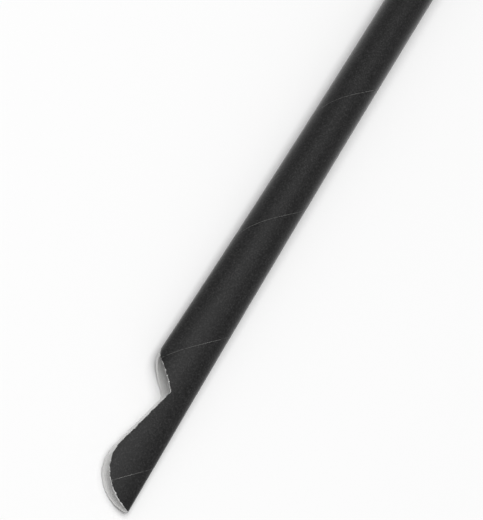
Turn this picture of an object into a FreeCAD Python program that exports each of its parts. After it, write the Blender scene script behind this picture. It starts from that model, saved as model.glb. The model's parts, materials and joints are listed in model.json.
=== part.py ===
import FreeCAD, Part
import Sketcher
import math
import os

# A paper drinking straw with a scoop cut into its tip, lying on a table.
# It is wound from paper: a pale inner tube, and a dark outer strip glued round it,
# edge to edge, so that the two are closed tubes that touch face to face.
# The scoop end was pressed flat on an anvil to be die-cut, and has sprung back to
# an oval. The oval fades out along the straw, which is round at its plain end.
# X runs from the scoop's tip to the plain end, +Y is the side that the scoop is
# open to, and +Z is up. Lengths in the sheet are measured from the tip, in mm.

SIZES = (
    ("straw_length", 200.0, "scoop tip to plain end"),
    ("outer_diameter", 8.0, "over the outer strip, where the straw is round"),
    ("wall", 0.4, "inner tube and outer strip together"),
    ("strip_thickness", 0.17, "outer strip alone"),
    ("round_from", 140.0, "tip to where the oval has faded out"),
    ("neck_widening", 0.298, "half width over radius at the scoop's neck, less 1"),
    ("tip_widening", 0.45, "the same at the tip"),
    ("ease_power", 2.3, "how the oval fades towards the plain end"),
    ("bowl_radius", 8.2, "arc of the scoop's bowl"),
    ("tip_set_in", 0.12, "tip in from the oval's folded edge"),
    ("back_slope", 11.7, "degrees, bowl down to the neck"),
    ("neck_place", 23.5, "tip to the corner of the neck"),
    ("neck_radius", 0.5, "inside corner of the neck"),
    ("notch_slope", 45.0, "degrees, neck up to the open side"),
    ("crest_radius", 4.0, "arc that ends the notch"),
    ("crest_set_in", 0.172, "end of that arc in from the neck's half width"),
)

# Places of the oval sections, as shares of the way from tip to neck and neck to round.
SPOON_SHARES = (-0.1, 0.5)
EASE_SHARES = (0.0, 0.12, 0.26, 0.42, 0.6, 0.8, 1.0)
# How an oval's half height falls with its widening when its edge keeps its length.
MINOR_SQUARE = 0.5
MINOR_FOURTH = 1.32
# How far the die reaches past the straw, in mm.
DIE_MARGIN = 3.0
# Turns an upright circle or oval square to the straw, its long axis across.
ACROSS_STRAW = FreeCAD.Rotation(FreeCAD.Vector(1, 1, 1), 120)


def make_sheet(doc):
    """The driving dimensions, one alias each."""
    sheet = doc.addObject("Spreadsheet::Sheet", "Sizes")
    for row, (alias, value, meaning) in enumerate(SIZES, start=1):
        sheet.set(f"A{row}", alias)
        sheet.set(f"B{row}", str(value))
        sheet.set(f"C{row}", meaning)
        sheet.setAlias(f"B{row}", alias)
    doc.recompute()
    return sheet


def widening_at(share, before_neck):
    """Expression for the half width over the radius, less 1, at a station."""
    if before_neck:
        gain = "(Sizes.tip_widening - Sizes.neck_widening)"
        return f"(Sizes.neck_widening + {gain} * {1 - share})"
    return f"(Sizes.neck_widening * {1 - share} ^ Sizes.ease_power)"


def stations():
    """Place and widening of each oval section, as expressions, from tip to round."""
    found = []
    for share in SPOON_SHARES:
        found.append((f"Sizes.neck_place * {share}", widening_at(share, True)))
    for share in EASE_SHARES:
        reach = "(Sizes.round_from - Sizes.neck_place)"
        place = f"Sizes.neck_place + {reach} * {share}"
        found.append((place, widening_at(share, False)))
    return found


def half_height(widening):
    """Expression for the oval's half height: its edge stays as long as the circle's."""
    square = f"{MINOR_SQUARE} * {widening} ^ 2"
    fourth = f"{MINOR_FOURTH} * {widening} ^ 4"
    return f"Sizes.outer_diameter / 2 * (1 - {widening} - {square} - {fourth})"


def make_skin(doc, name, depth):
    """The solid inside one surface of the wall, depth below the outer surface."""
    sections = []
    for number, (place, widening) in enumerate(stations()):
        oval = doc.addObject("Part::Ellipse", f"{name}_section_{number}")
        oval.Placement = FreeCAD.Placement(FreeCAD.Vector(), ACROSS_STRAW)
        width = f"Sizes.outer_diameter / 2 * (1 + {widening})"
        oval.setExpression("MajorRadius", f"{width} - {depth}")
        oval.setExpression("MinorRadius", f"{half_height(widening)} - {depth}")
        oval.setExpression("Placement.Base.x", place)
        oval.setExpression("Placement.Base.z", half_height(widening))
        sections.append(oval)
    loft = doc.addObject("Part::Loft", f"{name}_oval")
    loft.Sections = sections
    loft.Solid = True
    loft.Ruled = False
    barrel = doc.addObject("Part::Cylinder", f"{name}_round")
    barrel.Placement = FreeCAD.Placement(FreeCAD.Vector(), ACROSS_STRAW)
    barrel.setExpression("Radius", f"Sizes.outer_diameter / 2 - {depth}")
    barrel.setExpression("Height", "Sizes.straw_length - Sizes.round_from")
    barrel.setExpression("Placement.Base.x", "Sizes.round_from")
    barrel.setExpression("Placement.Base.z", "Sizes.outer_diameter / 2")
    skin = doc.addObject("Part::Fuse", name)
    skin.Base = loft
    skin.Tool = barrel
    return skin


def half_width(sheet, widening):
    """Half width of the straw where it has that widening."""
    return sheet.get("outer_diameter") / 2 * (1 + widening)


def scoop_points(sheet):
    """Corners and centres of the scoop's outline, in the sketch's plane."""
    bowl = sheet.get("bowl_radius")
    bowl_offset = half_width(sheet, sheet.get("tip_widening")) - sheet.get("tip_set_in")
    crest_offset = half_width(sheet, sheet.get("neck_widening")) - sheet.get("crest_set_in")
    back = math.radians(sheet.get("back_slope"))
    notch = math.radians(sheet.get("notch_slope"))
    round_neck = sheet.get("neck_radius")
    crest = sheet.get("crest_radius")
    vector = FreeCAD.Vector
    along_back = vector(math.cos(back), -math.sin(back), 0)
    along_notch = vector(math.cos(notch), math.sin(notch), 0)
    centre = vector(bowl, -bowl_offset, 0)
    leave = centre + vector(math.sin(back), math.cos(back), 0) * bowl
    run = (sheet.get("neck_place") - leave.x) / along_back.x
    corner = leave + along_back * run
    setback = round_neck * math.tan((back + notch) / 2)
    neck_in = corner - along_back * setback
    neck_centre = neck_in + vector(math.sin(back), math.cos(back), 0) * round_neck
    neck_out = corner + along_notch * setback
    rise = crest_offset - crest * (1 - math.cos(notch)) - corner.y
    crest_in = corner + along_notch * (rise / along_notch.y)
    crest_centre = crest_in + vector(math.sin(notch), -math.cos(notch), 0) * crest
    crest_out = crest_centre + vector(0, crest, 0)
    return {
        "tip": vector(0, centre.y, 0), "bowl_centre": centre, "leave": leave,
        "neck_in": neck_in, "neck_centre": neck_centre, "neck_out": neck_out,
        "crest_in": crest_in, "crest_centre": crest_centre, "crest_out": crest_out,
    }


def arc_through(centre, start, end):
    """Arc that runs counter-clockwise from start to end around centre."""
    upright = FreeCAD.Vector(0, 0, 1)
    radius = start.distanceToPoint(centre)
    circle = Part.Circle(centre, upright, radius)
    first = math.atan2(start.y - centre.y, start.x - centre.x)
    last = math.atan2(end.y - centre.y, end.x - centre.x)
    return Part.ArcOfCircle(circle, first, last)


def make_die(doc, sheet):
    """The die that cuts the scoop through both walls at once, square to the anvil."""
    body = doc.addObject("PartDesign::Body", "scoop_die")
    sketch = body.newObject("Sketcher::SketchObject", "scoop_outline")
    planes = [p for p in body.Origin.OriginFeatures if p.Role == "XY_Plane"]
    sketch.AttachmentSupport = (planes[0], [""])
    sketch.MapMode = "FlatFace"
    sketch.AttachmentOffset.Base.z = -DIE_MARGIN

    at = scoop_points(sheet)
    side = sheet.get("outer_diameter")
    far = FreeCAD.Vector(at["crest_out"].x, side, 0)
    front = FreeCAD.Vector(-DIE_MARGIN, side, 0)
    low = FreeCAD.Vector(-DIE_MARGIN, -side, 0)
    heel = FreeCAD.Vector(0, -side, 0)
    bowl = sketch.addGeometry(arc_through(at["bowl_centre"], at["leave"], at["tip"]))
    back = sketch.addGeometry(Part.LineSegment(at["leave"], at["neck_in"]))
    neck = sketch.addGeometry(arc_through(at["neck_centre"], at["neck_in"], at["neck_out"]))
    notch = sketch.addGeometry(Part.LineSegment(at["neck_out"], at["crest_in"]))
    crest = sketch.addGeometry(arc_through(at["crest_centre"], at["crest_out"], at["crest_in"]))
    rise = sketch.addGeometry(Part.LineSegment(at["crest_out"], far))
    over = sketch.addGeometry(Part.LineSegment(far, front))
    down = sketch.addGeometry(Part.LineSegment(front, low))
    under = sketch.addGeometry(Part.LineSegment(low, heel))
    toe = sketch.addGeometry(Part.LineSegment(heel, at["tip"]))

    def join(*values):
        sketch.addConstraint(Sketcher.Constraint(*values))

    def bind(name, kind, geometry, value, expression):
        number = sketch.addConstraint(Sketcher.Constraint(kind, *geometry, value))
        sketch.renameConstraint(number, name)
        sketch.setExpression(f"Constraints.{name}", expression)

    join("Tangent", bowl, 1, back, 1)
    join("Tangent", back, 2, neck, 1)
    join("Tangent", neck, 2, notch, 1)
    join("Tangent", notch, 2, crest, 2)
    join("Coincident", crest, 1, rise, 1)
    join("Coincident", rise, 2, over, 1)
    join("Coincident", over, 2, down, 1)
    join("Coincident", down, 2, under, 1)
    join("Coincident", under, 2, toe, 1)
    join("Tangent", toe, 2, bowl, 2)
    join("Vertical", rise)
    join("Horizontal", over)
    join("Vertical", down)
    join("Horizontal", under)
    join("Vertical", toe)
    join("Vertical", crest, 3, crest, 1)
    bind("bowl_radius", "Radius", (bowl,), at["bowl_centre"].x, "Sizes.bowl_radius")
    bind("bowl_reach", "DistanceX", (-1, 1, bowl, 3), at["bowl_centre"].x, "Sizes.bowl_radius")
    low_edge = "Sizes.outer_diameter / 2 * (1 + Sizes.tip_widening) - Sizes.tip_set_in"
    bind("bowl_offset", "DistanceY", (bowl, 3, -1, 1), -at["bowl_centre"].y, low_edge)
    slope = math.radians(sheet.get("back_slope"))
    bind("back_slope", "Angle", (back,), -slope, "-Sizes.back_slope * 1 deg")
    bind("neck_radius", "Radius", (neck,), sheet.get("neck_radius"), "Sizes.neck_radius")
    turn = math.radians(sheet.get("notch_slope"))
    bind("notch_slope", "Angle", (notch,), turn, "Sizes.notch_slope * 1 deg")
    bind("crest_radius", "Radius", (crest,), sheet.get("crest_radius"), "Sizes.crest_radius")
    high_edge = "Sizes.outer_diameter / 2 * (1 + Sizes.neck_widening) - Sizes.crest_set_in"
    bind("crest_offset", "DistanceY", (-1, 1, crest, 1), at["crest_out"].y, high_edge)
    swing = "tan((Sizes.back_slope + Sizes.notch_slope) / 2 * 1 deg)"
    setback = f"Sizes.neck_radius * {swing} * cos(Sizes.back_slope * 1 deg)"
    bind("neck_place", "DistanceX", (-1, 1, back, 2), at["neck_in"].x, f"Sizes.neck_place - {setback}")
    bind("die_side", "DistanceY", (-1, 1, over, 1), side, "Sizes.outer_diameter")
    bind("die_heel", "DistanceY", (under, 2, -1, 1), side, "Sizes.outer_diameter")
    bind("die_front", "DistanceX", (down, 1, -1, 1), DIE_MARGIN, str(DIE_MARGIN))

    pad = body.newObject("PartDesign::Pad", "scoop_cut")
    pad.Profile = sketch
    pad.setExpression("Length", f"Sizes.outer_diameter + {2 * DIE_MARGIN}")
    return body


def middle_of_box(sheet):
    """Move that puts the origin on the table, under the middle of the straw's box.

    The widest points are the folded side at the tip, and the open side where the
    notch ends.
    """
    neck = sheet.get("neck_place")
    notch_end = scoop_points(sheet)["crest_out"].x
    left = 1 - (notch_end - neck) / (sheet.get("round_from") - neck)
    open_side = half_width(sheet, sheet.get("neck_widening") * left ** sheet.get("ease_power"))
    closed_side = half_width(sheet, sheet.get("tip_widening"))
    return FreeCAD.Vector(-sheet.get("straw_length") / 2, (closed_side - open_side) / 2, 0)


def cut(doc, name, base, tool):
    """Base less tool."""
    result = doc.addObject("Part::Cut", name)
    result.Base = base
    result.Tool = tool
    return result


def check(doc, nodes):
    """Stop before anything is written if a feature failed or a shape is unsound."""
    for item in doc.Objects:
        if "Invalid" in item.State or "Error" in item.State:
            raise RuntimeError(f"{item.Name} failed: {item.State}")
    for node in nodes:
        shape = node.Shape
        if shape.isNull() or not shape.isValid() or shape.Volume <= 0:
            raise RuntimeError(f"{node.Label} has no sound shape")


def main():
    doc = FreeCAD.newDocument("scoop_straw")
    sheet = make_sheet(doc)
    outside = make_skin(doc, "outside", "0")
    seat = make_skin(doc, "strip_seat", "Sizes.strip_thickness")
    inside = make_skin(doc, "inside", "Sizes.wall")
    die = make_die(doc, sheet)

    plain_strip = cut(doc, "plain_strip", outside, seat)
    outer_strip = cut(doc, "outer_strip", plain_strip, die)
    plain_tube = cut(doc, "plain_tube", seat, inside)
    inner_tube = cut(doc, "inner_tube", plain_tube, die)
    doc.recompute()

    nodes = (outer_strip, inner_tube)
    for node in nodes:
        node.Placement = FreeCAD.Placement(middle_of_box(sheet), FreeCAD.Rotation())
    doc.recompute()
    check(doc, nodes)

    os.makedirs("parts", exist_ok=True)
    for node in nodes:
        node.Shape.exportStep(f"parts/{node.Label}.step")
        print(node.Label, len(node.Shape.Solids), "solid", round(node.Shape.Volume, 1), "mm3")


main()
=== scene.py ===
"""A scoop-ended paper straw lying on a pale table.

The straw is wound from paper: a pale inner tube with a black strip glued round it, edge
to edge. Each layer is laid out as flat paper, where a place is its distance from the
scoop's tip and its share of a turn, cut to the scoop's outline, and rolled up on the
straw's oval. Loose paper fibres stand along the cut.
"""

import json
import logging
import math
from collections.abc import Callable
from dataclasses import dataclass
from enum import Enum

import bpy
import numpy as np
from mathutils import Matrix, Vector


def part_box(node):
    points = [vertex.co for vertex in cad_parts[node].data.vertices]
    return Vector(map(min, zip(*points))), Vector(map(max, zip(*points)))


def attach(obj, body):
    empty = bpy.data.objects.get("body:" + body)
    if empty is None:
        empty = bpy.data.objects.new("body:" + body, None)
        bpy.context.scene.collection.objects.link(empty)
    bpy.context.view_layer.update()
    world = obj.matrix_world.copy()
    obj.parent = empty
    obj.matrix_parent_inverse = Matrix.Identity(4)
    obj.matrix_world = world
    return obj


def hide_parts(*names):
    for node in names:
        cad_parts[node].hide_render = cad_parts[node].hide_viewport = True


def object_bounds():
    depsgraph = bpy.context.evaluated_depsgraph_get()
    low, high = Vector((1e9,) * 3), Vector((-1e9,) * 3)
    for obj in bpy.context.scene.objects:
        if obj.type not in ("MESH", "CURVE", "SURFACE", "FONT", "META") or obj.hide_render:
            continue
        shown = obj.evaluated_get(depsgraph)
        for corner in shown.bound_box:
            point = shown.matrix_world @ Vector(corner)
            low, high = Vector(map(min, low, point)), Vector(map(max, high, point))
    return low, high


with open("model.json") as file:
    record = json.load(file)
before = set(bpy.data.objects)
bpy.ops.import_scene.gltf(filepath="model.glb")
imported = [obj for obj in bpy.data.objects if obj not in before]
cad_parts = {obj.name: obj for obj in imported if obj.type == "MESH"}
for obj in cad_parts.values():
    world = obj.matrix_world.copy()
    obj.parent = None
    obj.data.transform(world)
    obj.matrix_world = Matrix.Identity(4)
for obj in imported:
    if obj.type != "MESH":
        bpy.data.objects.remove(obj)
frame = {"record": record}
cad_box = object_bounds()

MM = 0.001
FINE_PLACES = 8001
WAVES = 12
GAUSS_POINTS = 32
NEWTON_STEPS = 10
JOINED_WITHIN = 0.0001 * MM

Colour = tuple[float, float, float, float]
log = logging.getLogger("scoop_straw")


class Finish(Enum):
    """The record's material slots."""

    BLACK = "black_paper"
    WHITE = "white_paper"


class Tag(Enum):
    """What the strip's points carry for its finish, in millimetres."""

    CUT = "from_cut"
    SEAM = "from_seam"
    DEPTH = "below_face"


def gathered(low: float, high: float,
             density: Callable[[np.ndarray], np.ndarray]) -> np.ndarray:
    """Places from low to high, closer together where the density is higher.

    The places are where the density's running sum reaches whole numbers, stretched a
    little so that the last one falls on the end.

    Args:
        low: first place.
        high: last place.
        density: places wanted per unit of length, as a function of the place.

    Returns:
        The places, in order.
    """
    fine = np.linspace(low, high, FINE_PLACES)
    steps = np.diff(fine) * density((fine[1:] + fine[:-1]) / 2)
    total = np.concatenate([[0.0], np.cumsum(steps)])
    count = int(math.ceil(total[-1])) + 1
    return np.interp(np.linspace(0, total[-1], count), total, fine)


def ripple(first: np.ndarray, second: np.ndarray, wave: float, seed: int) -> np.ndarray:
    """Smooth seeded noise over two coordinates, mostly between -1 and 1.

    It is the sum of some sine waves over the root of their number. Their directions,
    lengths and starts are drawn at random, the lengths from half to one and a half
    times the one given.

    Args:
        first: one coordinate of each place.
        second: the other coordinate.
        wave: middle wavelength, in the coordinates' unit.
        seed: which noise.

    Returns:
        The noise at each place.
    """
    draw = np.random.default_rng(seed)
    total = np.zeros_like(first)
    waves = draw.uniform([0, 0.5, 0], [math.tau, 1.5, math.tau], (WAVES, 3))
    for heading, stretch, start in waves:
        run = first * math.cos(heading) + second * math.sin(heading)
        total += np.sin(math.tau * run / (wave * stretch) + start)
    return total / math.sqrt(WAVES)


def unit(rows: np.ndarray) -> np.ndarray:
    """Each row over its length."""
    return rows / np.linalg.norm(rows, axis=1)[:, None]


def grey(level: float) -> Colour:
    """A colour that is equally red, green and blue."""
    return (level, level, level, 1)


@dataclass(frozen=True)
class StrawForm:
    """The straw's outside: round at its plain end, a lying oval towards its scoop.

    Places along it are metres from the scoop's tip. Places round it are shares of a
    turn from the top line, positive towards the side that the scoop is open to.
    """

    length: float
    radius: float
    tip: float
    middle: float
    neck: float = 23.5 * MM
    round_from: float = 140.0 * MM
    neck_widening: float = 0.298
    tip_widening: float = 0.45
    ease_power: float = 2.3
    square_share: float = 0.5
    fourth_share: float = 1.32

    @property
    def girth(self) -> float:
        """Length of the paper's way round."""
        return math.tau * self.radius

    def widening(self, along: np.ndarray) -> np.ndarray:
        """The oval's half width over the round radius, less 1.

        It falls in a straight line from the tip to the neck, and from there by a power
        of the way that is left to the round stretch.

        Args:
            along: place along the straw.

        Returns:
            The widening at each place.
        """
        gain = self.tip_widening - self.neck_widening
        before = self.neck_widening + gain * (1 - along / self.neck)
        left = np.clip(1 - (along - self.neck) / (self.round_from - self.neck), 0, 1)
        return np.where(along < self.neck, before, self.neck_widening * left**self.ease_power)

    def half_width(self, along: np.ndarray) -> np.ndarray:
        """Half of the oval's width: the round radius times 1 plus the widening."""
        return self.radius * (1 + self.widening(along))

    def half_height(self, along: np.ndarray) -> np.ndarray:
        """Half of the oval's height, which keeps its edge as long as the circle's.

        It is the round radius times 1 less the widening, a share of the widening's
        square and a share of its fourth power.

        Args:
            along: place along the straw.

        Returns:
            Half of the height at each place.
        """
        wider = self.widening(along)
        fall = wider + self.square_share * wider**2 + self.fourth_share * wider**4
        return self.radius * (1 - fall)

    def oval_angle(self, along: np.ndarray, turn: np.ndarray) -> np.ndarray:
        """The oval's own angle at a share of the way round.

        The way round from the top is the integral of the oval's speed, taken with
        Gauss's weights, and Newton's steps find the angle where it is the share asked
        for of the whole edge.

        Args:
            along: place along the straw.
            turn: share of a turn from the top, from -0.5 to 0.5.

        Returns:
            The angle, 0 at the top and a quarter turn at the open side.
        """
        nodes, weights = np.polynomial.legendre.leggauss(GAUSS_POINTS)
        wide = self.half_width(along)
        high = self.half_height(along)

        def way(angle: np.ndarray) -> np.ndarray:
            """Length of the oval's edge from its top.

            Args:
                angle: the oval's own angle, where the length ends.

            Returns:
                Half the angle times the weighted sum of the speed up to it.
            """
            at = angle[:, None] * (1 + nodes) / 2
            speed = np.hypot(wide[:, None] * np.cos(at), high[:, None] * np.sin(at))
            return angle / 2 * (speed @ weights)

        wanted = 2 * turn * way(np.full_like(turn, math.pi))
        angle = math.tau * turn
        for _ in range(NEWTON_STEPS):
            speed = np.hypot(wide * np.cos(angle), high * np.sin(angle))
            angle = np.clip(angle - (way(angle) - wanted) / speed, -math.pi, math.pi)
        return angle

    def point(self, along: np.ndarray, angle: np.ndarray, depth: np.ndarray) -> np.ndarray:
        """Points below the outside, in the row's frame.

        An oval deeper in the wall has the same centre, and half sizes less the depth. A
        point on it is half its width times the angle's sine across, and half its height
        times the cosine up.

        Args:
            along: place along the straw.
            angle: the oval's own angle.
            depth: distance in from the outer surface.

        Returns:
            One point a row.
        """
        across = (self.half_width(along) - depth) * np.sin(angle)
        high = self.half_height(along)
        up = high + (high - depth) * np.cos(angle)
        return np.column_stack([self.tip + along, self.middle + across, up])

    def outward(self, along: np.ndarray, angle: np.ndarray) -> np.ndarray:
        """Unit directions square to the oval, away from the bore.

        They go as half the height times the angle's sine across, and half the width
        times its cosine up.

        Args:
            along: place along the straw.
            angle: the oval's own angle.

        Returns:
            One direction a row.
        """
        side = self.half_height(along) * np.sin(angle)
        up = self.half_width(along) * np.cos(angle)
        return unit(np.column_stack([np.zeros_like(side), side, up]))


@dataclass(frozen=True)
class ScoopCut:
    """The outline that the die cuts, seen from above: bowl, back, neck, notch and crest."""

    tip_set_in: float = 0.12 * MM
    bowl_radius: float = 8.2 * MM
    back_slope: float = math.radians(11.7)
    neck_radius: float = 0.5 * MM
    notch_slope: float = math.radians(45)
    crest_radius: float = 4.0 * MM
    crest_set_in: float = 0.172 * MM
    lower_lip_out: float = 0.36 * MM
    lower_lip_full: float = 3 * MM
    lower_notch_in: float = 0.25 * MM
    raggedness: float = 0.034 * MM
    rag_length: float = 0.55 * MM
    rag_seed: int = 3
    sway: float = 0.040 * MM
    sway_length: float = 1.9 * MM
    sway_seed: int = 4

    def beyond(self, form: StrawForm, along: np.ndarray, across: np.ndarray,
               lower: np.ndarray) -> np.ndarray:
        """How far each place lies past the cut; what is kept is negative.

        The bowl is the distance from its centre less its radius, and the back and the
        notch are distances from straight lines. The offcut is where the back and the
        notch are both passed, with its corner rounded at the neck, and an arc rounds
        the end of the notch. The straw sprang open after the cut, so its lower lip
        stands out past the upper one, in full from a little way behind the tip, and
        its notch lies a little farther back. Two ripples make the edge uneven.

        Args:
            form: the straw.
            along: place along the straw.
            across: place across it, from the middle plane.
            lower: 0 on the upper wall's middle, 1 on the lower wall's.

        Returns:
            The distance past the cut.
        """
        low = self.tip_set_in - form.radius * (1 + form.tip_widening)
        high = form.radius * (1 + form.neck_widening) - self.crest_set_in
        back = np.array([math.cos(self.back_slope), -math.sin(self.back_slope)])
        over_back = np.array([math.sin(self.back_slope), math.cos(self.back_slope)])
        notch = np.array([math.cos(self.notch_slope), math.sin(self.notch_slope)])
        over_notch = np.array([-math.sin(self.notch_slope), math.cos(self.notch_slope)])

        bowl = np.array([self.bowl_radius, low])
        leave = bowl + over_back * self.bowl_radius
        corner = leave + back * (form.neck - leave[0]) / back[0]
        rise = high - self.crest_radius * (1 - math.cos(self.notch_slope)) - corner[1]
        crest = corner + notch * rise / notch[1] - over_notch * self.crest_radius

        place = np.column_stack([along, across])
        from_bowl = place - bowl
        round_bowl = np.hypot(*from_bowl.T) - self.bowl_radius
        top = np.where(from_bowl @ back < 0, round_bowl, (place - leave) @ over_back)
        top -= self.lower_lip_out * lower * np.clip(along / self.lower_lip_full, 0, 1)

        from_crest = place - crest
        round_crest = np.hypot(*from_crest.T) - self.crest_radius
        side = np.where(from_crest @ notch > 0, round_crest, (place - corner) @ over_notch)
        past = np.minimum(from_crest[:, 1] - self.crest_radius, -from_crest[:, 0])
        side = np.where(from_crest[:, 0] > 0, past, side + self.lower_notch_in * lower)

        corner_gap = np.hypot(
            np.maximum(self.neck_radius - top, 0), np.maximum(self.neck_radius - side, 0)
        )
        rounded = np.maximum(self.neck_radius, np.minimum(top, side)) - corner_gap
        apart = across + lower * MM
        rag = self.raggedness * ripple(along, apart, self.rag_length, self.rag_seed)
        sway = self.sway * ripple(along, apart, self.sway_length, self.sway_seed)
        return rounded + rag + sway


@dataclass(frozen=True)
class Winding:
    """How the strip climbs the straw, as a right-handed helix."""

    pitch: float = 31.61 * MM
    top_crossing: float = 2.59 * MM
    gap: float = 0.034 * MM
    gap_play: float = 0.6
    gap_run: float = 2.2 * MM
    ply_line: float = 0.45

    def seam(self, along: np.ndarray) -> np.ndarray:
        """The seam's place in turns: the way back to its crossing of the top, over the pitch."""
        return (self.top_crossing - along) / self.pitch

    def gap_share(self, form: StrawForm) -> float:
        """The gap in turns: gap over girth, times the root of 1 plus girth over pitch squared."""
        return self.gap * math.hypot(1, form.girth / self.pitch) / form.girth


@dataclass
class FlatSheet:
    """A sheet of flat paper as triangles, with its places along and shares of its width."""

    along: np.ndarray
    share: np.ndarray
    triangles: np.ndarray

    @classmethod
    def grid(cls, rows: np.ndarray, columns: np.ndarray) -> "FlatSheet":
        """A sheet over every row and column.

        Columns follow the seam, so that the cells lean, and each is split along its
        shorter diagonal.

        Args:
            rows: places along the straw.
            columns: shares of the sheet's width, from one seam to the next.

        Returns:
            The sheet.
        """
        along, share = np.meshgrid(rows, columns, indexing="ij")
        number = np.arange(along.size).reshape(along.shape)
        near, ahead = number[:-1, :-1], number[1:, :-1]
        beside, across = number[:-1, 1:], number[1:, 1:]
        first = np.stack([near, ahead, across], axis=-1).reshape(-1, 3)
        second = np.stack([near, across, beside], axis=-1).reshape(-1, 3)
        return cls(along.ravel(), share.ravel(), np.concatenate([first, second]))

    def cut(self, beyond: np.ndarray) -> "FlatSheet":
        """The part of the sheet that lies before the cut.

        A triangle with one corner kept becomes a smaller triangle, and one with two
        corners kept becomes two. A new point stands on each crossed edge where the
        distance, taken as changing evenly along it, is nothing.

        Args:
            beyond: distance past the cut at each point.

        Returns:
            The sheet that is kept.
        """
        kept = beyond[self.triangles] < 0
        whole = self.triangles[kept.all(axis=1)]

        def turned(count: int, odd: np.ndarray) -> np.ndarray:
            """The triangles with some of their corners kept.

            Args:
                count: how many corners those triangles keep.
                odd: where the corner is that differs from the other two.

            Returns:
                Them, turned round so that their odd corner comes first.
            """
            mixed = kept.sum(axis=1) == count
            first = np.argmax(odd[mixed], axis=1)[:, None]
            return np.take_along_axis(self.triangles[mixed], (first + np.arange(3)) % 3, axis=1)

        one = turned(1, kept)
        two = turned(2, ~kept)
        crossed = np.concatenate(
            [mixed[:, side] for mixed in (one, two) for side in ([0, 1], [0, 2])]
        )
        edges, number = np.unique(np.sort(crossed, axis=1), axis=0, return_inverse=True)
        number = number.ravel() + len(self.along)
        one_next, one_last, two_next, two_last = np.split(
            number, np.cumsum([len(one), len(one), len(two)])
        )
        start, end = edges.T
        way = beyond[start] / (beyond[start] - beyond[end])
        new_along = self.along[start] + way * (self.along[end] - self.along[start])
        new_share = self.share[start] + way * (self.share[end] - self.share[start])
        triangles = np.concatenate([
            whole,
            np.column_stack([one[:, 0], one_next, one_last]),
            np.column_stack([two_next, two[:, 1], two[:, 2]]),
            np.column_stack([two_next, two[:, 2], two_last]),
        ])
        used, packed = np.unique(triangles, return_inverse=True)
        along = np.concatenate([self.along, new_along])[used]
        share = np.concatenate([self.share, new_share])[used]
        return FlatSheet(along, share, packed.reshape(-1, 3))


def rim_of(triangles: np.ndarray) -> np.ndarray:
    """The edges that only one triangle has.

    Args:
        triangles: rows of three point numbers.

    Returns:
        The edges, each running the way that its triangle does.
    """
    edges = np.concatenate([triangles[:, [0, 1]], triangles[:, [1, 2]], triangles[:, [2, 0]]])
    _, first, count = np.unique(
        np.sort(edges, axis=1), axis=0, return_index=True, return_counts=True
    )
    return edges[first[count == 1]]


@dataclass
class Layer:
    """One rolled-up paper as a closed shell, ready to become a mesh."""

    points: np.ndarray
    faces: np.ndarray
    tags: dict[Tag, np.ndarray]

    @classmethod
    def between(cls, face: np.ndarray, back: np.ndarray, triangles: np.ndarray,
                tags: dict[Tag, tuple[np.ndarray, np.ndarray]]) -> "Layer":
        """Close a sheet between its face and its back.

        Points of the face that meet, as where a tube's sides join, are made one first.
        The back takes the face's triangles the other way round, and a wall of two
        triangles stands on each edge of the rim.

        Args:
            face: the outer point of each place.
            back: the inner point of each place.
            triangles: the sheet's triangles.
            tags: each tag's values on the face and on the back.

        Returns:
            The layer, kept inside the bare nodes' box.
        """
        low, high = np.array(cad_box)
        face, back = np.clip(face, low, high), np.clip(back, low, high)
        _, first, number = np.unique(
            np.round(face / JOINED_WITHIN).astype(np.int64), axis=0,
            return_index=True, return_inverse=True,
        )
        face, back = face[first], back[first]
        triangles = number.ravel()[triangles]
        start, end = rim_of(triangles).T
        below = len(face)
        walls = np.concatenate([
            np.column_stack([end, start, start + below]),
            np.column_stack([end, start + below, end + below]),
        ])
        values = {
            tag: np.concatenate([on_face[first], on_back[first]])
            for tag, (on_face, on_back) in tags.items()
        }
        faces = np.concatenate([triangles, triangles[:, ::-1] + below, walls])
        return cls(np.concatenate([face, back]), faces, values)


def show(name: str, points: np.ndarray, faces: np.ndarray, finish: bpy.types.Material,
         crease: float, tags: dict[Tag, np.ndarray] | None = None) -> bpy.types.Object:
    """Put a mesh into the scene, smooth but for its creases.

    Args:
        name: the piece's name.
        points: its points, in the row's frame.
        faces: its faces, as rows of point numbers.
        finish: its material.
        crease: edges that turn by more than this angle stay sharp.
        tags: values that its points carry for the finish.

    Returns:
        The object, at the origin.
    """
    mesh = bpy.data.meshes.new(name)
    mesh.from_pydata(points.tolist(), [], faces.tolist())
    mesh.polygons.foreach_set("use_smooth", np.ones(len(mesh.polygons), dtype=bool))
    mesh.set_sharp_from_angle(angle=crease)
    for tag, values in (tags or {}).items():
        layer = mesh.attributes.new(tag.value, "FLOAT", "POINT")
        layer.data.foreach_set("value", values.astype(np.float32))
    mesh.materials.append(finish)
    mesh.update()
    piece = bpy.data.objects.new(name, mesh)
    bpy.context.scene.collection.objects.link(piece)
    return piece


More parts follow.
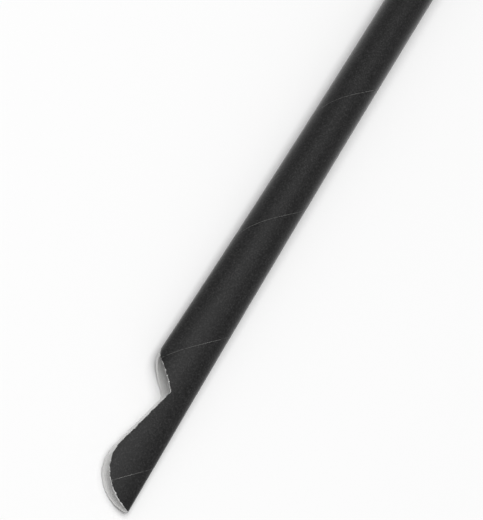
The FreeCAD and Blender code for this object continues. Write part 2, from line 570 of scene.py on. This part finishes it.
class Amount:
    """A number inside a material's nodes, on which ordinary sums work."""

    def __init__(self, nodes: "Nodes", socket: bpy.types.NodeSocket) -> None:
        """Wrap a socket of that material."""
        self.nodes = nodes
        self.socket = socket

    def _sum(self, operation: str, first: "Amount | float", second: "Amount | float") -> "Amount":
        """A Math node on two numbers."""
        return self.nodes.amount("ShaderNodeMath", {"operation": operation}, {0: first, 1: second})

    def __add__(self, other: "Amount | float") -> "Amount":
        """Self plus other."""
        return self._sum("ADD", self, other)

    def __radd__(self, other: "Amount | float") -> "Amount":
        """Other plus self."""
        return self._sum("ADD", other, self)

    def __sub__(self, other: "Amount | float") -> "Amount":
        """Self less other."""
        return self._sum("SUBTRACT", self, other)

    def __rsub__(self, other: "Amount | float") -> "Amount":
        """Other less self."""
        return self._sum("SUBTRACT", other, self)

    def __mul__(self, other: "Amount | float") -> "Amount":
        """Self times other."""
        return self._sum("MULTIPLY", self, other)

    def __rmul__(self, other: "Amount | float") -> "Amount":
        """Other times self."""
        return self._sum("MULTIPLY", other, self)

    def most(self, other: "Amount | float") -> "Amount":
        """The larger of the two."""
        return self._sum("MAXIMUM", self, other)

    def ease(self, low: "Amount | float", high: "Amount | float") -> "Amount":
        """0 at low and 1 at high, with a smooth step between them."""
        return self.nodes.amount(
            "ShaderNodeMapRange",
            {"interpolation_type": "SMOOTHSTEP", "clamp": True},
            {"Value": self, "From Min": low, "From Max": high},
        )


@dataclass(frozen=True)
class Noise:
    """Smooth noise: its spots' width in metres, its finer layers and each axis's stretch."""

    width: float
    detail: float = 2.0
    rough: float = 0.5
    stretch: tuple[float, float, float] = (1, 1, 1)


@dataclass(frozen=True)
class Spots(Noise):
    """Smooth noise parted into 0 below its low limit and 1 above its high one."""

    low: float = 0.3
    high: float = 0.7


class Nodes:
    """A new material and the nodes that colour it."""

    def __init__(self, name: str) -> None:
        """Start a material that holds one Principled shader."""
        self.material = bpy.data.materials.new(name)
        self.material.use_nodes = True
        self.tree = self.material.node_tree
        self.shader = self.tree.nodes["Principled BSDF"]

    def node(self, kind: str, settings: dict[str, object],
             inputs: dict[str | int, object]) -> bpy.types.Node:
        """Add a node.

        Args:
            kind: the node's type.
            settings: its own settings, set first.
            inputs: values or links of its sockets, by name or number.

        Returns:
            The node.
        """
        made = self.tree.nodes.new(kind)
        for setting, value in settings.items():
            setattr(made, setting, value)
        for key, value in inputs.items():
            self.feed(made.inputs[key], value)
        return made

    def feed(self, socket: bpy.types.NodeSocket, value: object) -> None:
        """Link a socket to something of this material, or set its value.

        Args:
            socket: the input to feed.
            value: a number of this material, another socket or a plain value.
        """
        source = value.socket if isinstance(value, Amount) else value
        if isinstance(source, bpy.types.NodeSocket):
            self.tree.links.new(source, socket)
        else:
            socket.default_value = source

    def amount(self, kind: str, settings: dict[str, object],
               inputs: dict[str | int, object]) -> Amount:
        """The first output of a new node, as a number."""
        return Amount(self, self.node(kind, settings, inputs).outputs[0])

    def tag(self, tag: Tag) -> Amount:
        """A value that the piece's points carry."""
        made = self.node("ShaderNodeAttribute", {"attribute_name": tag.value}, {})
        return Amount(self, made.outputs["Fac"])

    def place(self, stretch: tuple[float, float, float] = (1, 1, 1)) -> bpy.types.NodeSocket:
        """Object coordinates, with each axis multiplied.

        Args:
            stretch: what each axis is multiplied by.

        Returns:
            The coordinates.
        """
        seen = self.node("ShaderNodeTexCoord", {}, {})
        scaled = self.node(
            "ShaderNodeMapping", {"vector_type": "POINT"},
            {"Vector": seen.outputs["Object"], "Scale": stretch},
        )
        return scaled.outputs["Vector"]

    def noise(self, noise: Noise) -> Amount:
        """Smooth noise, about 0.5 on average."""
        return self.amount("ShaderNodeTexNoise", {}, {
            "Vector": self.place(noise.stretch), "Scale": 1 / noise.width,
            "Detail": noise.detail, "Roughness": noise.rough,
        })

    def spots(self, spots: Spots) -> Amount:
        """Smooth noise, parted into 0 and 1."""
        return self.noise(spots).ease(spots.low, spots.high)

    def blend(self, share: Amount | float, first: object, second: object) -> bpy.types.NodeSocket:
        """A colour between two others."""
        made = self.node(
            "ShaderNodeMix", {"data_type": "RGBA", "clamp_factor": True},
            {"Factor": share, 6: first, 7: second},
        )
        return made.outputs[2]

    def relief(self, height: Amount, depth: float) -> bpy.types.NodeSocket:
        """A surface direction that tilts with a height, of 0 to 1 times a depth in metres."""
        made = self.node(
            "ShaderNodeBump", {}, {"Height": height, "Distance": depth, "Strength": 1.0}
        )
        return made.outputs["Normal"]


@dataclass(frozen=True)
class WhitePaper:
    """Uncoated pale paper: soft clouds, fine grain and a few grey flecks."""

    name: str = "white_paper"
    pale: Colour = (0.86, 0.858, 0.85, 1)
    dull: Colour = (0.76, 0.758, 0.75, 1)
    fleck: Colour = (0.55, 0.545, 0.535, 1)
    fleck_share: float = 0.5
    grain_share: float = 0.45
    cloud: Spots = Spots(2.4 * MM, detail=3, rough=0.6)
    grain: Spots = Spots(0.16 * MM, stretch=(0.35, 1, 1), low=0.25, high=0.75)
    flecks: Spots = Spots(0.16 * MM * 2.2, detail=1, stretch=(0.3, 1, 1), low=0.70, high=0.76)
    fibre: Noise = Noise(0.16 * MM, detail=3, rough=0.6, stretch=(0.4, 1, 1))
    roughness: float = 0.9
    shine: float = 0.25
    tooth: float = 0.02 * MM

    def colour(self, nodes: Nodes) -> bpy.types.NodeSocket:
        """The paper's colour: dull to pale by its clouds and grain, with flecks on it.

        Args:
            nodes: the material that it is for.

        Returns:
            The colour.
        """
        grain = self.grain_share * nodes.spots(self.grain)
        mottle = (1 - self.grain_share) * nodes.spots(self.cloud) + grain
        tone = nodes.blend(mottle, self.dull, self.pale)
        return nodes.blend(self.fleck_share * nodes.spots(self.flecks), tone, self.fleck)

    def material(self) -> bpy.types.Material:
        """Build the material.

        Returns:
            The material.
        """
        nodes = Nodes(self.name)
        shader = nodes.shader
        nodes.feed(shader.inputs["Base Color"], self.colour(nodes))
        shader.inputs["Roughness"].default_value = self.roughness
        shader.inputs["Specular IOR Level"].default_value = self.shine
        nodes.feed(shader.inputs["Normal"], nodes.relief(nodes.noise(self.fibre), self.tooth))
        return nodes.material


@dataclass(frozen=True)
class BlackPaper:
    """White paper with black ink on its face, worn through along the die's cut.

    The lengths in millimetres are held against those that the strip's points carry.
    """

    name: str = "black_paper"
    ink: Colour = (0.0008, 0.0008, 0.0009, 1)
    thin_ink: Colour = (0.0135, 0.0133, 0.0135, 1)
    speck: Colour = (0.040, 0.0396, 0.040, 1)
    chafed: Colour = (0.105, 0.104, 0.102, 1)
    speck_share: float = 0.7
    grain_share: float = 0.75
    lip_from_mm: float = 0.04
    lip_to_mm: float = 0.10
    ink_depth_mm: float = 0.012
    smear_mm: float = 0.03
    ink_fade: float = 0.7
    chafe_mm: float = 0.012
    chip_mm: float = 0.22
    chafe_fade: float = 0.55
    cloud: Spots = Spots(1.4 * MM, detail=4, rough=0.65)
    grain: Spots = Spots(0.36 * MM, rough=0.6, low=0.35, high=0.72)
    specks: Spots = Spots(0.36 * MM * 0.8, rough=0.6, low=0.46, high=0.74)
    rubs: Spots = Spots(0.6 * MM, low=0.26, high=0.60)
    chips: Spots = Spots(0.30 * MM, detail=3, rough=0.7, low=0.42, high=0.70)
    smears: Spots = Spots(0.45 * MM, low=0.45, high=0.65)
    fibre: Noise = Noise(0.36 * MM, detail=3, rough=0.65)
    roughness: float = 0.46
    grain_roughness: float = 0.12
    shine: float = 0.28
    nap: float = 0.45
    nap_roughness: float = 0.36
    tooth: float = 0.03 * MM
    bare: WhitePaper = WhitePaper()

    def material(self) -> bpy.types.Material:
        """Build the material.

        The ink goes from black to thin, with paler specks, and is rubbed grey along the
        strip's edges. Bare paper shows up to an uneven distance from the cut, and below
        the uneven depth where the ink ends.

        Returns:
            The material.
        """
        nodes = Nodes(self.name)
        shader = nodes.shader
        grain = nodes.spots(self.grain)
        mottle = (1 - self.grain_share) * nodes.spots(self.cloud) + self.grain_share * grain
        inked = nodes.blend(mottle, self.ink, self.thin_ink)
        inked = nodes.blend(self.speck_share * nodes.spots(self.specks), inked, self.speck)
        lip = 1 - nodes.tag(Tag.SEAM).ease(self.lip_from_mm, self.lip_to_mm)
        inked = nodes.blend(lip * nodes.spots(self.rubs), inked, self.chafed)

        chips = nodes.spots(self.chips)
        reach = self.chafe_mm + self.chip_mm * chips * chips * chips
        worn = 1 - nodes.tag(Tag.CUT).ease(reach * self.chafe_fade, reach)
        ink_ends = self.ink_depth_mm + self.smear_mm * nodes.spots(self.smears)
        below = nodes.tag(Tag.DEPTH).ease(self.ink_fade * ink_ends, ink_ends)
        colour = nodes.blend(worn.most(below), inked, self.bare.colour(nodes))

        nodes.feed(shader.inputs["Base Color"], colour)
        nodes.feed(shader.inputs["Roughness"], self.roughness + self.grain_roughness * grain)
        shader.inputs["Specular IOR Level"].default_value = self.shine
        shader.inputs["Sheen Weight"].default_value = self.nap
        shader.inputs["Sheen Roughness"].default_value = self.nap_roughness
        nodes.feed(shader.inputs["Normal"], nodes.relief(nodes.noise(self.fibre), self.tooth))
        return nodes.material


@dataclass(frozen=True)
class RowSpacing:
    """How many rows of points a millimetre of the straw has, and where it has more."""

    plain: float = 0.9
    scoop: float = 3.4
    scoop_end: float = 33 * MM
    scoop_fade: float = 2.5 * MM
    oval: float = 0.9
    oval_end: float = 70 * MM
    oval_fade: float = 8 * MM
    tip: float = 15
    tip_fade: float = 0.4 * MM

    def density(self, along: np.ndarray) -> np.ndarray:
        """Rows for each metre.

        More than the plain number stand up to the scoop's end and up to the oval's,
        where they fall off in an S-curve, and at the tip, where they fall off
        exponentially.

        Args:
            along: place along the straw.

        Returns:
            The number at each place.
        """
        scoop = self.scoop / (1 + np.exp((along - self.scoop_end) / self.scoop_fade))
        oval = self.oval / (1 + np.exp((along - self.oval_end) / self.oval_fade))
        tip = self.tip * np.exp(-along / self.tip_fade)
        return (self.plain + scoop + oval + tip) / MM


@dataclass
class PaperTube:
    """The pale inner tube, whose outside the strip is glued to."""

    form: StrawForm
    cut: ScoopCut
    winding: Winding
    strip_thickness: float = 0.17 * MM
    wall: float = 0.4 * MM
    spacing: RowSpacing = RowSpacing()
    column_count: int = 85
    cockle: float = 0.008 * MM
    cockle_length: float = 6 * MM
    cockle_seed: int = 8
    crease: float = math.radians(50)

    def columns(self) -> np.ndarray:
        """Shares of the sheet's width, evenly spaced."""
        return np.linspace(0, 1, self.column_count)

    def lay(self) -> FlatSheet:
        """Lay out the sheet and cut it to the scoop's outline.

        Returns:
            The sheet.
        """
        rows = gathered(0.0, self.form.length, self.spacing.density)
        sheet = FlatSheet.grid(rows, self.columns())
        return sheet.cut(self.beyond(sheet, self.angle(sheet)))

    def angle(self, sheet: FlatSheet) -> np.ndarray:
        """The oval's angle of each place on the sheet."""
        turn = self.winding.seam(sheet.along) + sheet.share
        return self.form.oval_angle(sheet.along, turn - np.round(turn))

    def beyond(self, sheet: FlatSheet, angle: np.ndarray) -> np.ndarray:
        """How far each place on the sheet lies past the cut."""
        across = self.form.half_width(sheet.along) * np.sin(angle)
        return self.cut.beyond(self.form, sheet.along, across, (1 - np.cos(angle)) / 2)

    def from_cut(self, sheet: FlatSheet, angle: np.ndarray) -> np.ndarray:
        """Millimetres from each place back to the cut."""
        return np.maximum(-self.beyond(sheet, angle), 0) / MM

    def cockling(self, sheet: FlatSheet, angle: np.ndarray) -> np.ndarray:
        """How far each place is off the smooth oval, because paper is never quite flat."""
        way = angle * self.form.radius
        return self.cockle * ripple(sheet.along, way, self.cockle_length, seed=self.cockle_seed)

    def build(self, finish: bpy.types.Material) -> bpy.types.Object:
        """Make the tube.

        Args:
            finish: its material.

        Returns:
            The tube's object.
        """
        sheet = self.lay()
        angle = self.angle(sheet)
        face = self.form.point(sheet.along, angle, np.full_like(angle, self.strip_thickness))
        back = self.form.point(sheet.along, angle, self.wall + self.cockling(sheet, angle))
        layer = Layer.between(face, back, sheet.triangles, {})
        return show("paper_tube", layer.points, layer.faces, finish, self.crease)


@dataclass
class WoundStrip(PaperTube):
    """The black strip: one long ribbon round the tube, with a hairline gap at its seam.

    Its columns are counted in a millimetre of its width.
    """

    cockle: float = 0.006 * MM
    cockle_length: float = 5 * MM
    cockle_seed: int = 5
    lip_drop: float = 0.012 * MM
    lip_width: float = 0.05 * MM
    lifted: float = 0.018 * MM
    lifted_width: float = 0.6 * MM
    ply_dent: float = 0.014 * MM
    ply_width: float = 0.22 * MM
    ink_drag: float = 0.135 * MM
    overhang: float = 0.09 * MM
    sway_fade: float = 0.1 * MM
    near_seed: int = 21
    far_seed: int = 22
    plain_columns: float = 3.5
    lip_columns: float = 26
    lip_columns_fade: float = 0.09 * MM
    ply_columns: float = 5
    ply_columns_width: float = 0.5 * MM

    @property
    def edge(self) -> float:
        """Where the strip begins beside the seam's middle, as a share of a turn."""
        return self.winding.gap_share(self.form) / 2

    def density(self, share: np.ndarray) -> np.ndarray:
        """Columns for the whole width.

        More than the plain number stand at the edges, where they fall off
        exponentially, and in a bell curve about the line of the ply below.

        Args:
            share: share of the strip's width.

        Returns:
            The number at each place.
        """
        girth = self.form.girth
        near = np.minimum(share - self.edge, 1 - self.edge - share) * girth
        ply = (share - self.winding.ply_line) * girth
        lips = self.lip_columns * np.exp(-near / self.lip_columns_fade)
        line = self.ply_columns * np.exp(-((ply / self.ply_columns_width) ** 2))
        return girth * (self.plain_columns + lips + line) / MM

    def columns(self) -> np.ndarray:
        """Shares of the strip's width, close at its edges and at the line of the ply below."""
        return gathered(self.edge, 1 - self.edge, self.density)

    def lay(self) -> FlatSheet:
        """Cut the strip to the outline, its edges swaying so that the gap comes and goes.

        Each edge moves sideways by a ripple's part of the gap, and the move falls off
        exponentially away from it.

        Returns:
            The sheet.
        """
        sheet = super().lay()
        near = (sheet.share - self.edge, 1, self.near_seed)
        far = (1 - self.edge - sheet.share, -1, self.far_seed)
        for inward, side, seed in (near, far):
            sway = ripple(sheet.along, np.zeros_like(inward), self.winding.gap_run, seed=seed)
            reach = self.edge * self.winding.gap_play * np.clip(sway, -1, 1)
            fade = np.exp(-inward * self.form.girth / self.sway_fade)
            sheet.share = sheet.share + side * reach * fade
        return sheet

    @staticmethod
    def upper(angle: np.ndarray) -> np.ndarray:
        """1 on the upper wall, 0 on the lower: 1.5 times the cosine plus 0.5, held between."""
        return np.clip(1.5 * np.cos(angle) + 0.5, 0, 1)

    def beyond(self, sheet: FlatSheet, angle: np.ndarray) -> np.ndarray:
        """How far each place lies past the cut, which pressed the upper edge out a little."""
        return super().beyond(sheet, angle) - self.overhang * self.upper(angle)

    def relief(self, sheet: FlatSheet, angle: np.ndarray) -> np.ndarray:
        """How far each place stands above the plain oval.

        The strip's edges are pressed round by a drop that falls off exponentially. One
        of them stands a little proud and the line of the ply below is a shallow dent,
        both as bell curves, and the paper cockles slightly.

        Args:
            sheet: the strip, laid out flat.
            angle: the oval's angle of each of its places.

        Returns:
            The height at each place.
        """
        girth = self.form.girth
        left = (sheet.share - self.edge) * girth
        right = (1 - self.edge - sheet.share) * girth
        ply = (sheet.share - self.winding.ply_line) * girth
        lips = np.exp(-left / self.lip_width) + np.exp(-right / self.lip_width)
        proud = np.exp(-((left / self.lifted_width) ** 2))
        dent = np.exp(-((ply / self.ply_width) ** 2))
        rise = self.lifted * proud - self.lip_drop * lips - self.ply_dent * dent
        return rise + self.cockling(sheet, angle)

    def build(self, finish: bpy.types.Material) -> bpy.types.Object:
        """Make the strip.

        The die comes from above and drags ink down over the upper wall's cut face, so
        that the depth there is counted from where the ink ends.

        Args:
            finish: its material.

        Returns:
            The strip's object.
        """
        sheet = self.lay()
        angle = self.angle(sheet)
        from_cut = self.from_cut(sheet, angle)
        from_seam = np.minimum(sheet.share, 1 - sheet.share) * self.form.girth / MM
        face = self.form.point(sheet.along, angle, -self.relief(sheet, angle))
        back = self.form.point(sheet.along, angle, np.full_like(angle, self.strip_thickness))
        dragged = self.ink_drag * self.upper(angle) / MM
        layer = Layer.between(face, back, sheet.triangles, {
            Tag.CUT: (from_cut, from_cut),
            Tag.SEAM: (from_seam, from_seam),
            Tag.DEPTH: (-dragged, self.strip_thickness / MM - dragged),
        })
        return show("wound_strip", layer.points, layer.faces, finish, self.crease, layer.tags)


@dataclass
class EdgeFibres(PaperTube):
    """Loose paper fibres that the die left standing along the cut."""

    crease: float = math.radians(30)
    count: int = 800
    shortest: float = 0.05 * MM
    longest: float = 0.30 * MM
    length_power: float = 2.5
    thickness: float = 0.022 * MM
    thickness_play: tuple[float, float] = (0.6, 1.5)
    root_inside: float = 0.03 * MM
    depth_power: float = 1.6
    lean: float = 1.0
    lift: float = 0.35
    on_cut_mm: float = 0.01
    seed: int = 11

    def edges(self) -> tuple[np.ndarray, np.ndarray, np.ndarray]:
        """Find the short runs of the cut on the straw's outside, without its plain end.

        Returns:
            The start, the end and the outward direction of each.
        """
        sheet = self.lay()
        angle = self.angle(sheet)
        start, end = rim_of(sheet.triangles).T
        on_cut = self.from_cut(sheet, angle) < self.on_cut_mm
        run = on_cut[start] & on_cut[end] & (sheet.along[start] < 2 * self.form.neck)
        places = self.form.point(sheet.along, angle, np.zeros_like(angle))
        outward = self.form.outward(sheet.along, angle)
        return places[start[run]], places[end[run]], outward[start[run]]

    def build(self, finish: bpy.types.Material) -> bpy.types.Object:
        """Make the fibres, each a thin sliver of four faces.

        A fibre starts inside the wall at a random place of the cut, and runs off the
        edge, partly along it. Its three base points stand round its start, and its tip
        is the fourth. None of them leaves the bare nodes' box.

        Args:
            finish: their material.

        Returns:
            The fibres' object.
        """
        draw = np.random.default_rng(self.seed)
        one_each = (self.count, 1)
        start, end, outward = self.edges()
        length = np.linalg.norm(end - start, axis=1)
        picked = draw.choice(len(length), self.count, p=length / length.sum())
        run = (end - start)[picked]
        along = unit(run)
        normal = outward[picked]
        off = unit(np.cross(along, normal))
        depth = draw.uniform(0, 1, one_each) ** self.depth_power * self.wall
        root = start[picked] + run * draw.uniform(0, 1, one_each)
        root = root - normal * depth - off * self.root_inside
        lean = draw.normal(0, self.lean, one_each)
        lift = draw.normal(0, self.lift, one_each)
        heading = unit(off + along * lean + normal * lift)
        longer = draw.uniform(0, 1, one_each) ** self.length_power
        tip = root + heading * (self.shortest + (self.longest - self.shortest) * longer)
        side = unit(np.cross(heading, normal))
        high = np.cross(side, heading)
        half = self.thickness / 2 * draw.uniform(*self.thickness_play, one_each)
        round_root = ((-1, -1), (1, -1), (0, 1))
        base = [root + (side * right + high * up) * half for right, up in round_root]
        points = np.stack([*base, tip], axis=1).reshape(-1, 3)
        sliver = np.array([[1, 0, 3], [2, 1, 3], [0, 2, 3], [0, 1, 2]])
        faces = (4 * np.arange(self.count)[:, None, None] + sliver).reshape(-1, 3)
        return show("edge_fibres", np.clip(points, *np.array(cad_box)), faces, finish, self.crease)


@dataclass(frozen=True)
class Studio:
    """A wide white table under an even sky and one large soft lamp."""

    table_side: float = 60.0
    table_white: float = 0.97
    table_bounce: float = 0.65
    shadow_reach: float = 0.16
    plain_from: float = 0.55
    sky_level: float = 0.33
    lamp_level: float = 0.68
    lamp_side: float = 1.1
    lamp_place: tuple[float, float, float] = (-0.02, 0.14, 1.30)
    lit_share: float = 0.25

    def table(self) -> bpy.types.Object:
        """A flat matt table whose top is the floor of the row's frame.

        It is white where it is seen, also in a gloss or through glass, and greyer in
        the light that it sends back. Beyond the reach of the straw's shadow, what is
        seen of it turns plain white.

        Returns:
            The table's object.
        """
        nodes = Nodes("table_white")
        ray = nodes.node("ShaderNodeLightPath", {}, {})
        camera, glossy, through = (
            Amount(nodes, ray.outputs[name])
            for name in ("Is Camera Ray", "Is Glossy Ray", "Is Transmission Ray")
        )
        seen = camera.most(glossy).most(through)
        colour = nodes.blend(seen, grey(self.table_bounce), grey(self.table_white))
        nodes.feed(nodes.shader.inputs["Base Color"], colour)
        nodes.shader.inputs["Roughness"].default_value = 1.0
        nodes.shader.inputs["Specular IOR Level"].default_value = 0.0
        away = nodes.node("ShaderNodeVectorMath", {"operation": "LENGTH"}, {0: nodes.place()})
        far = Amount(nodes, away.outputs["Value"]).ease(self.shadow_reach, self.plain_from)
        plain = nodes.node("ShaderNodeEmission", {}, {"Strength": 1.0})
        surface = nodes.node(
            "ShaderNodeMixShader", {},
            {0: seen * far, 1: nodes.shader.outputs["BSDF"], 2: plain.outputs["Emission"]},
        )
        nodes.feed(nodes.tree.nodes["Material Output"].inputs["Surface"], surface.outputs["Shader"])
        half = self.table_side / 2
        corners = np.array([[-half, -half, 0], [half, -half, 0], [half, half, 0], [-half, half, 0]])
        return show("table", corners, np.array([[0, 1, 2, 3]]), nodes.material, math.pi)

    def sky(self) -> None:
        """The same weak white light from all round."""
        world = bpy.data.worlds.new("sky")
        world.use_nodes = True
        light = world.node_tree.nodes["Background"]
        light.inputs["Color"].default_value = grey(1)
        light.inputs["Strength"].default_value = self.sky_level
        bpy.context.scene.world = world

    def lamp(self, form: StrawForm) -> None:
        """One square lamp, set so that it lights the table to the lamp's level.

        It faces a place under the straw, a share of its length from the tip. What it
        gives that place is its brightness times the share of the place's view that it
        fills, and times the sine of its height on the slant. With r for its half side
        over its distance, and s for r over the root of 1 + r squared, it fills 4/pi
        times s times the arc tangent of s.

        Args:
            form: the straw.
        """
        target = Vector((form.tip + form.length * self.lit_share, form.middle, 0))
        data = bpy.data.lights.new("soft_lamp", "AREA")
        data.shape = "SQUARE"
        data.size = self.lamp_side
        away = Vector(self.lamp_place)
        ratio = self.lamp_side / 2 / away.length
        slope = ratio / math.sqrt(1 + ratio**2)
        share = 4 / math.pi * slope * math.atan(slope)
        share *= away.z / away.length
        data.energy = math.pi * self.lamp_side**2 * self.lamp_level / share
        lamp = bpy.data.objects.new("soft_lamp", data)
        lamp.location = target + away
        lamp.rotation_euler = away.to_track_quat("Z", "Y").to_euler()
        bpy.context.scene.collection.objects.link(lamp)


@dataclass(frozen=True)
class Photograph:
    """Where the picture was taken from, found from the straw's edges and seams in it."""

    wide: float = 483
    high: float = 520
    tilt: float = math.radians(30.93)
    roll: float = math.radians(8.76)
    heading: float = math.radians(58.36)
    scale: float = 5.375 / MM
    distance: float = 0.869
    aimed_along: float = 60.71 * MM
    aimed_pixel: tuple[float, float] = (259.2, 242.8)
    sensor: float = 36.0
    nearest: float = 0.01
    farthest: float = 20.0

    def camera(self, form: StrawForm) -> None:
        """Make the camera.

        The straw's axis leans away from the picture plane by the tilt, and the camera is
        rolled about that axis. The heading is the axis's direction in the picture. The
        camera stands square above a point of the axis that the picture shows beside its
        middle, and then turns until that point is at its pixel.

        Args:
            form: the straw.
        """
        upright = Vector((0, math.sin(self.roll), math.cos(self.roll)))
        sideways = Vector((0, -math.cos(self.roll), math.sin(self.roll)))
        ahead = Vector((1, 0, 0))
        climb = ahead * math.cos(self.tilt) + upright * math.sin(self.tilt)
        toward = upright * math.cos(self.tilt) - ahead * math.sin(self.tilt)
        right = climb * math.cos(self.heading) + sideways * math.sin(self.heading)
        up = climb * math.sin(self.heading) - sideways * math.cos(self.heading)

        aimed = Vector((form.tip + self.aimed_along, form.middle, form.radius))
        focal = self.scale * self.distance
        to_right = self.wide / 2 - self.aimed_pixel[0]
        to_top = self.aimed_pixel[1] - self.high / 2
        back = (toward * focal - right * to_right - up * to_top).normalized()
        up = (up - back * up.dot(back)).normalized()
        right = up.cross(back)

        data = bpy.data.cameras.new("camera")
        data.sensor_width = self.sensor
        data.lens = focal * self.sensor / max(self.wide, self.high)
        data.clip_start = self.nearest
        data.clip_end = self.farthest
        camera = bpy.data.objects.new("camera", data)
        turn = Matrix((right, up, back)).transposed().to_4x4()
        camera.matrix_world = Matrix.Translation(aimed + toward * self.distance) @ turn
        bpy.context.scene.collection.objects.link(camera)
        bpy.context.scene.camera = camera


def straw_form() -> StrawForm:
    """Take the straw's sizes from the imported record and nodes, as far as they give them.

    Returns:
        The straw's form.
    """
    low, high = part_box("outer_strip")
    barrel = {mount["name"]: mount for mount in frame["record"]["mounts"]}["barrel"]
    return StrawForm(
        length=high.x - low.x, radius=barrel["dims"]["r_mm"] * MM,
        tip=low.x, middle=barrel["pos_m"][1],
    )


def main() -> None:
    """Build the straw, the table, the light and the camera."""
    logging.basicConfig(level=logging.INFO, format="%(name)s: %(message)s")
    bpy.context.scene.view_settings.view_transform = "Standard"
    form = straw_form()
    shape = (form, ScoopCut(), Winding())
    white = WhitePaper().material()
    black = BlackPaper().material()

    strip = WoundStrip(*shape).build(black)
    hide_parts("outer_strip")
    tube = PaperTube(*shape).build(white)
    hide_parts("inner_tube")
    fibres = EdgeFibres(*shape).build(white)
    for piece in (strip, tube, fibres):
        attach(piece, "root")
        log.info("%s: %d triangles", piece.name, len(piece.data.polygons))

    studio = Studio()
    studio.table()
    studio.sky()
    studio.lamp(form)
    Photograph().camera(form)


if __name__ == "__main__":
    main()
